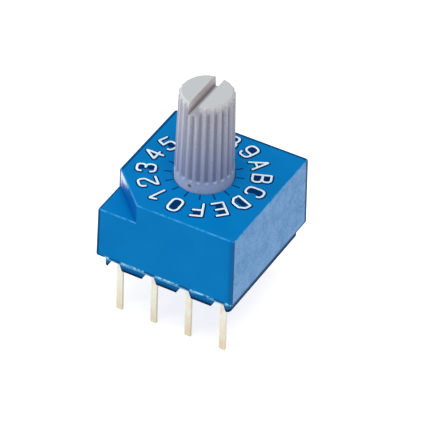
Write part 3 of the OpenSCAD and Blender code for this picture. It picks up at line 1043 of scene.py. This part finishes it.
characters = []
shadow_bed_strokes = []
for index, character in enumerate(STROKES):
    for closed, corner, points in STROKES[character]:
        line = [on_dial(point, index) for point in rounded(points, corner, closed)]
        characters.append(stroke(line, STROKE_R, closed))
        shadow_bed_strokes.append(stroke([point + BED_SHIFT for point in line], OUTLINE_R, closed))
    for points in FILLS.get(character, []):
        line = [on_dial(point, index) + BED_SHIFT for point in points]
        shadow_bed_strokes.append(stroke(line, FILL_R, False))
dial_characters = flattened(characters, "dial_characters", STROKE_HIGH, STROKE_LIFT)
dial_shadow_bed = flattened(shadow_bed_strokes, "dial_shadow_bed", OUTLINE_HIGH, 0.0)
print("dial:", len(dial_characters.data.polygons), "and", len(dial_shadow_bed.data.polygons), "faces")

# %% [markdown]
# Inside the ring of characters, a short dark tick points at each position from the edge
# of the shaft's hole. It could be a plane, but a thin bar is a closed shape, and its
# bevelled edges are soft like those of paint.

# %% One tick
TICK_FROM, TICK_TO = 2.06, 2.58  # from the shaft's axis, mm
TICK_WIDE = 0.09
TICK_HIGH = 0.02  # half of it stands above the cover
TICK_EDGE_R = 0.006


def first_tick():
    """A flat bar with soft edges at the first position."""
    deselect_all()
    bpy.ops.mesh.primitive_cube_add(
        size=1,
        location=((TICK_FROM + TICK_TO) / 2, 0, 0),
        scale=(TICK_TO - TICK_FROM, TICK_WIDE, TICK_HIGH),
    )
    tick = bpy.context.object
    apply_transforms()
    bevel = tick.modifiers.new("soft_edges", "BEVEL")
    bevel.width = TICK_EDGE_R
    bevel.segments = 2
    bpy.ops.object.modifier_apply(modifier=bevel.name)
    return tick


tick = first_tick()
print("tick:", len(tick.data.polygons), "faces")

# %% [markdown]
# The other positions get turned copies of it. An array modifier could repeat it round an
# empty. Copies joined to one piece need nothing else in the scene.

# %% Ticks all round
def ticks_from(first):
    ticks = [first]
    for index in range(1, POSITIONS):
        only(first)
        bpy.ops.object.duplicate()
        bpy.context.object.rotation_euler.z = math.radians(index * 360 / POSITIONS)
        ticks.append(bpy.context.object)
    only(*ticks)
    bpy.ops.object.join()
    piece = bpy.context.object
    piece.name = "dial_ticks"
    apply_transforms()
    piece.scale = (MM, MM, MM)
    piece.location.z = COVER_HIGH.z
    apply_transforms()
    return piece


dial_ticks = ticks_from(tick)
print("all ticks:", len(dial_ticks.data.polygons), "faces")

# %% [markdown]
# Brown paint fills a dimple at the foot of the shaft as an index mark, and it turns with
# the shaft. A drop of paint is flat behind, where it meets the dimple, and domed in front.
# So it is a flattened sphere whose back is cut off by a plane and closed.

# %% Index mark
MARK_HALF = (0.165, 0.036, 0.165)  # of the drop, mm
MARK_SUNK = 0.04  # its middle behind the shaft's surface
MARK_BACK = 0.02  # its flat back behind its middle
MARK_UP = 0.43  # its middle above the cover


def add_index_mark():
    middle = SHAFT_FOOT_R / MM - MARK_SUNK
    deselect_all()
    bpy.ops.mesh.primitive_uv_sphere_add(segments=24, ring_count=12, radius=1,
                                         location=(0, -middle, 0), scale=MARK_HALF)
    piece = bpy.context.object
    piece.name = "index_mark"
    bpy.ops.object.mode_set(mode="EDIT")
    bpy.ops.mesh.select_all(action="SELECT")
    bpy.ops.mesh.bisect(plane_co=(0, -(middle - MARK_BACK), 0), plane_no=(0, 1, 0),
                        clear_outer=True, use_fill=True)
    bpy.ops.object.mode_set(mode="OBJECT")
    apply_transforms()
    piece.scale = (MM, MM, MM)
    piece.location.z = COVER_HIGH.z + MARK_UP * MM
    apply_transforms()
    bpy.ops.object.shade_smooth()
    return piece


index_mark = add_index_mark()
print("index mark:", len(index_mark.data.polygons), "faces")

# %% [markdown]
# The characters are filled with white paint, the ticks are dark, the characters' bed is
# dark as painted shadow, and the index mark is brown. One flat colour each would look
# printed. Paint isn't quite even, so each wanders between two near shades, as the rubber
# does.

# %% Paints
PAINT_GRAIN = 7000.0
PAINT_ROUGH = 0.55


def paint(name, depth, deep, pale, specular):
    return clouded_material(name, PAINT_GRAIN, depth, deep, pale, Roughness=PAINT_ROUGH,
                            Specular_IOR_Level=specular)


white_paint = paint("white_marking", 0.1, srgb(214, 235, 250), srgb(233, 247, 255), 0.2)
# Dark paint for the ticks, and painted shadow for the characters' bed.
shadow_and_tick_paint = paint("dark_marking", 0.2, srgb(0, 42, 92), srgb(0, 50, 106), 0.02)
brown_paint = paint("brown_marking", 0.2, srgb(116, 96, 88), srgb(138, 114, 100), 0.1)
tell(white_paint, shadow_and_tick_paint, brown_paint)

# %% [markdown]
# Each new piece gets its paint and the body that it rides on, as the child of an empty
# named after that body. Parenting by hand could do the same. The dial stays with the
# housing, and the mark rides with the turning shaft.

# %% Paint and mount the dial
def finish_piece(piece, material, body):
    piece.data.materials.clear()
    piece.data.materials.append(material)
    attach(piece, body)
    print(piece.name, "rides on", body)


finish_piece(dial_characters, white_paint, "housing")
finish_piece(dial_shadow_bed, shadow_and_tick_paint, "housing")
finish_piece(dial_ticks, shadow_and_tick_paint, "housing")
finish_piece(index_mark, brown_paint, "turning_shaft")

# %% [markdown]
# The switch stands on a white studio floor, its leads touching it. A white floor alone
# renders grey, and lamps that whiten it would bleach the blue. So the floor glows, but
# only for the camera and in reflections: its soft shadow and the light that it throws up
# on the switch stay real.

# %% Floor
FLOOR_SIZE = 4.0
FLOOR_WHITE = (0.8, 0.8, 0.8, 1)
FLOOR_GLOW = 0.58


def floor_material():
    material, tree, shader = new_material("white_floor")
    path = node(tree, "ShaderNodeLightPath").outputs
    seen = maths(tree, "MAXIMUM", path["Is Camera Ray"], path["Is Glossy Ray"])
    seen = maths(tree, "MAXIMUM", seen, path["Is Transmission Ray"])
    set_inputs(tree, shader, Base_Color=FLOOR_WHITE, Roughness=1.0, Specular_IOR_Level=0.0,
               Emission_Color=(1, 1, 1, 1), Emission_Strength=product(tree, seen, FLOOR_GLOW))
    return material


def add_floor():
    deselect_all()
    bpy.ops.mesh.primitive_plane_add(size=FLOOR_SIZE, location=(0, 0, cad_bounds[0].z))
    made = bpy.context.object
    made.name = "studio_floor"
    made.data.materials.append(floor_material())


add_floor()
print("floor at", mm(cad_bounds[0].z), "mm")

# %% [markdown]
# A plain white world gives even light from all round, as a light tent does. An image of a
# studio would add reflections of things that aren't there.

# %% World
WORLD_STRENGTH = 0.52


def add_world():
    world = bpy.data.worlds.new("studio")
    bpy.context.scene.world = world
    world.use_nodes = True
    background = world.node_tree.nodes["Background"]
    background.inputs["Color"].default_value = (1, 1, 1, 1)
    background.inputs["Strength"].default_value = WORLD_STRENGTH


add_world()
print("world strength", WORLD_STRENGTH)

# %% [markdown]
# In the world's light alone all sides look equally bright, so three lamps give the switch
# its form. The strongest hangs high up on the right and lights the top. One nearly as
# strong stands low on the left and models the round shaft, and a weak one at the front
# left opens the shadows. Small lamps would draw hard shadows, so each is 30 cm wide.

# %% Lamps
LAMP_DISTANCE = 0.5
LAMP_SIZE = 0.3
# name, azimuth and elevation in degrees, watts
LAMPS = [
    ("key_lamp", -15, 25, 0.36),
    ("top_lamp", 40, 75, 1.15),
    ("left_lamp", -75, 15, 1.1),
]


def add_lamp(name, azimuth, elevation, watts):
    back = direction(math.radians(azimuth), math.radians(elevation))
    deselect_all()
    bpy.ops.object.light_add(type="AREA", location=back * LAMP_DISTANCE)
    lamp = bpy.context.object
    lamp.name = name
    lamp.rotation_mode = "QUATERNION"
    lamp.rotation_quaternion = (-back).to_track_quat("-Z", "Y")
    lamp.data.size = LAMP_SIZE
    lamp.data.energy = watts
    print(name, "at", [mm(c) for c in lamp.location], "mm with", watts, "W")


for lamp in LAMPS:
    add_lamp(*lamp)
bpy.context.scene.view_settings.view_transform = "Standard"
